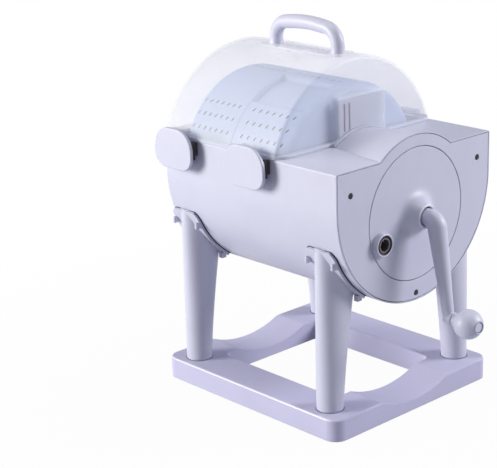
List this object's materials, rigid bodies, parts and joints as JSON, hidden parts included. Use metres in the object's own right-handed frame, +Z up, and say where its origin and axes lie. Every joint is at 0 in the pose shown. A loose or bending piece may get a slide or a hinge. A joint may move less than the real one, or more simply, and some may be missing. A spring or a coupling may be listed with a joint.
{
  "type": "manual washing machine",
  "caption": "Hand cranked drum washing machine on legs over an open base frame, with a hinged clear lid, latches and a carrying handle.",
  "frame": {"origin": "on the floor under the middle of the overall box", "axes": "+Z up, +X along the drum's axis towards the crank, -Y towards the latches"},
  "size_m": [0.4208, 0.3072, 0.487],
  "materials": {
    "body": "satin moulded polypropylene, pale lavender grey",
    "base": "satin moulded polypropylene, pale lavender grey",
    "clear": "frosted translucent polypropylene",
    "drum": "matte moulded plastic, pale blue",
    "gear": "plain acetal",
    "rubber": "matte black rubber",
    "grey_rubber": "matte grey rubber",
    "steel": "plain zinc plated steel"
  },
  "bodies": {
    "stand": {"base_frame": "base", "foot_front_left": "rubber", "foot_front_right": "rubber", "foot_rear_left": "rubber", "foot_rear_right": "rubber", "leg_screw_front_left": "steel", "leg_screw_front_right": "steel", "leg_screw_rear_left": "steel", "leg_screw_rear_right": "steel", "leg_front_left": "body", "leg_front_right": "body", "leg_rear_left": "body", "leg_rear_right": "body", "tub_shell": "body", "hinge_pin_left": "steel", "hinge_pin_right": "steel", "drive_end_panel": "body", "panel_screw_front": "steel", "panel_screw_rear": "steel", "panel_screw_low": "steel", "gear_cover": "body", "crank_bush": "gear", "gear_bracket": "gear", "drive_bush": "gear", "shaft_seal": "rubber", "idle_bush": "gear", "idle_cap": "body"},
    "drum": {"drum_left_half": "drum", "drum_right_half": "drum", "drum_shaft": "steel", "drum_pinion": "gear", "idle_axle": "steel", "door_rail_left": "drum", "door_rail_right": "drum", "drum_lifter_1": "drum", "drum_lifter_2": "drum"},
    "drum_door": {"drum_door": "drum"},
    "crank_shaft": {"crank_shaft": "steel", "drive_gear": "gear"},
    "low_pinion": {"low_pinion": "gear"},
    "crank_arm": {"crank_arm": "body", "knob_spindle": "steel"},
    "crank_knob": {"crank_knob": "body"},
    "lid": {"lid_shell": "clear", "lid_handle": "body", "handle_screw_left": "steel", "handle_screw_right": "steel", "latch_pin_left": "steel", "latch_pin_right": "steel"},
    "latch_left": {"latch_left": "body"},
    "latch_right": {"latch_right": "body"},
    "drain_plug": {"drain_plug": "grey_rubber"}
  },
  "joints": [
    {"name": "drum_spin", "type": "hinge", "parent": "stand", "child": "drum", "pos_m": [-0.0904, 0.0019, 0.289], "axis": [1, 0, 0], "continuous": true},
    {"name": "crank_turn", "type": "hinge", "parent": "stand", "child": "crank_shaft", "pos_m": [0.0696, 0.0019, 0.2615], "axis": [1, 0, 0], "continuous": true},
    {"name": "low_pinion_turn", "type": "hinge", "parent": "stand", "child": "low_pinion", "pos_m": [0.0696, -0.0627, 0.23799], "axis": [1, 0, 0], "continuous": true},
    {"name": "crank_pull", "type": "slide", "parent": "crank_shaft", "child": "crank_arm", "axis": [1, 0, 0], "range_m": [0, 0.03]},
    {"name": "knob_spin", "type": "hinge", "parent": "crank_arm", "child": "crank_knob", "pos_m": [0.1931, 0.0019, 0.1385], "axis": [1, 0, 0], "continuous": true},
    {"name": "lid_hinge", "type": "hinge", "parent": "stand", "child": "lid", "pos_m": [-0.0954, 0.1494, 0.343], "axis": [-1, 0, 0], "range_deg": [0, 100]},
    {"name": "latch_left_hinge", "type": "hinge", "parent": "lid", "child": "latch_left", "pos_m": [-0.1649, -0.1451, 0.3485], "axis": [-1, 0, 0], "range_deg": [0, 85]},
    {"name": "latch_right_hinge", "type": "hinge", "parent": "lid", "child": "latch_right", "pos_m": [-0.0324, -0.1451, 0.3485], "axis": [-1, 0, 0], "range_deg": [0, 85]},
    {"name": "drum_door_slide", "type": "hinge", "parent": "drum", "child": "drum_door", "pos_m": [-0.0534, 0.0019, 0.289], "axis": [-1, 0, 0], "range_deg": [0, 64]},
    {"name": "drain_plug_pull", "type": "slide", "parent": "stand", "child": "drain_plug", "axis": [-1, 0, 0], "range_m": [0, 0.015]}
  ],
  "couplings": [
    {"joint": "crank_turn", "follows": "drum_spin", "ratio": 0.5},
    {"joint": "low_pinion_turn", "follows": "drum_spin", "ratio": -2}
  ]
}
